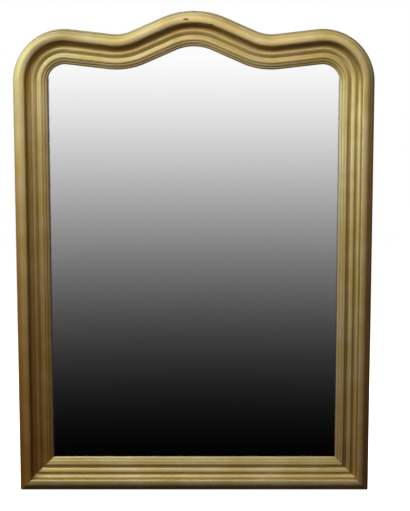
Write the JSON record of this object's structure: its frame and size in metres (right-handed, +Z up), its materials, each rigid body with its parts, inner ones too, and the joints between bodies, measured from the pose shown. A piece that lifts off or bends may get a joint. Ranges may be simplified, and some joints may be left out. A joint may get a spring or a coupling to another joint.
{
  "type": "giltwood wall mirror",
  "caption": "Shaped-top giltwood wall mirror: moulded gilt frame with a serpentine crest on a pine carcass, mirror plate, boarded back and swinging hanging rings.",
  "frame": {"origin": "on the wall plane, on the centre line, level with the bars of the two hanging rings", "axes": "+Z up along the frame's height, +Y into the wall, so the plate faces -Y, and +X to the viewer's right"},
  "size_m": [1, 0.0596, 1.352],
  "materials": {
    "gilding": "water gilding over gesso and red bole, aged to a satin olive gold with brown toning in the hollows",
    "pine": "old planed pine, oxidised brown",
    "backboard_pine": "rough-planed pine boards, dusty",
    "beech": "plain beech",
    "silvered_plate": "silvered plate glass, slightly aged",
    "hanger_iron": "blackened iron, worn bright at the edges",
    "screw_steel": "dulled steel",
    "nail_iron": "rusted iron"
  },
  "bodies": {
    "frame": {"left_stile_moulding": "gilding", "right_stile_moulding": "gilding", "bottom_rail_moulding": "gilding", "left_shoulder_moulding": "gilding", "right_shoulder_moulding": "gilding", "crest_moulding": "gilding", "carcass_left_stile": "pine", "carcass_right_stile": "pine", "carcass_bottom_rail": "pine", "carcass_top_rail": "pine", "glazing_blocks": "pine", "backboard_1": "backboard_pine", "backboard_2": "backboard_pine", "backboard_3": "backboard_pine", "backboard_4": "backboard_pine", "backboard_5": "backboard_pine", "lap_pegs": "beech", "left_mitre_key": "beech", "right_mitre_key": "beech", "crest_dowels": "beech", "shoulder_dowels": "beech", "mirror_plate": "silvered_plate", "left_hanger_strap": "hanger_iron", "right_hanger_strap": "hanger_iron", "hanger_screws": "screw_steel", "backboard_nails": "nail_iron"},
    "left_ring": {"left_hanger_ring": "hanger_iron"},
    "right_ring": {"right_hanger_ring": "hanger_iron"}
  },
  "joints": [
    {"name": "left_ring_swing", "type": "hinge", "parent": "frame", "child": "left_ring", "pos_m": [-0.461, 0.0043, 0], "axis": [1, 0, 0], "range_deg": [0, 180]},
    {"name": "right_ring_swing", "type": "hinge", "parent": "frame", "child": "right_ring", "pos_m": [0.461, 0.0043, 0], "axis": [1, 0, 0], "range_deg": [0, 180]}
  ]
}
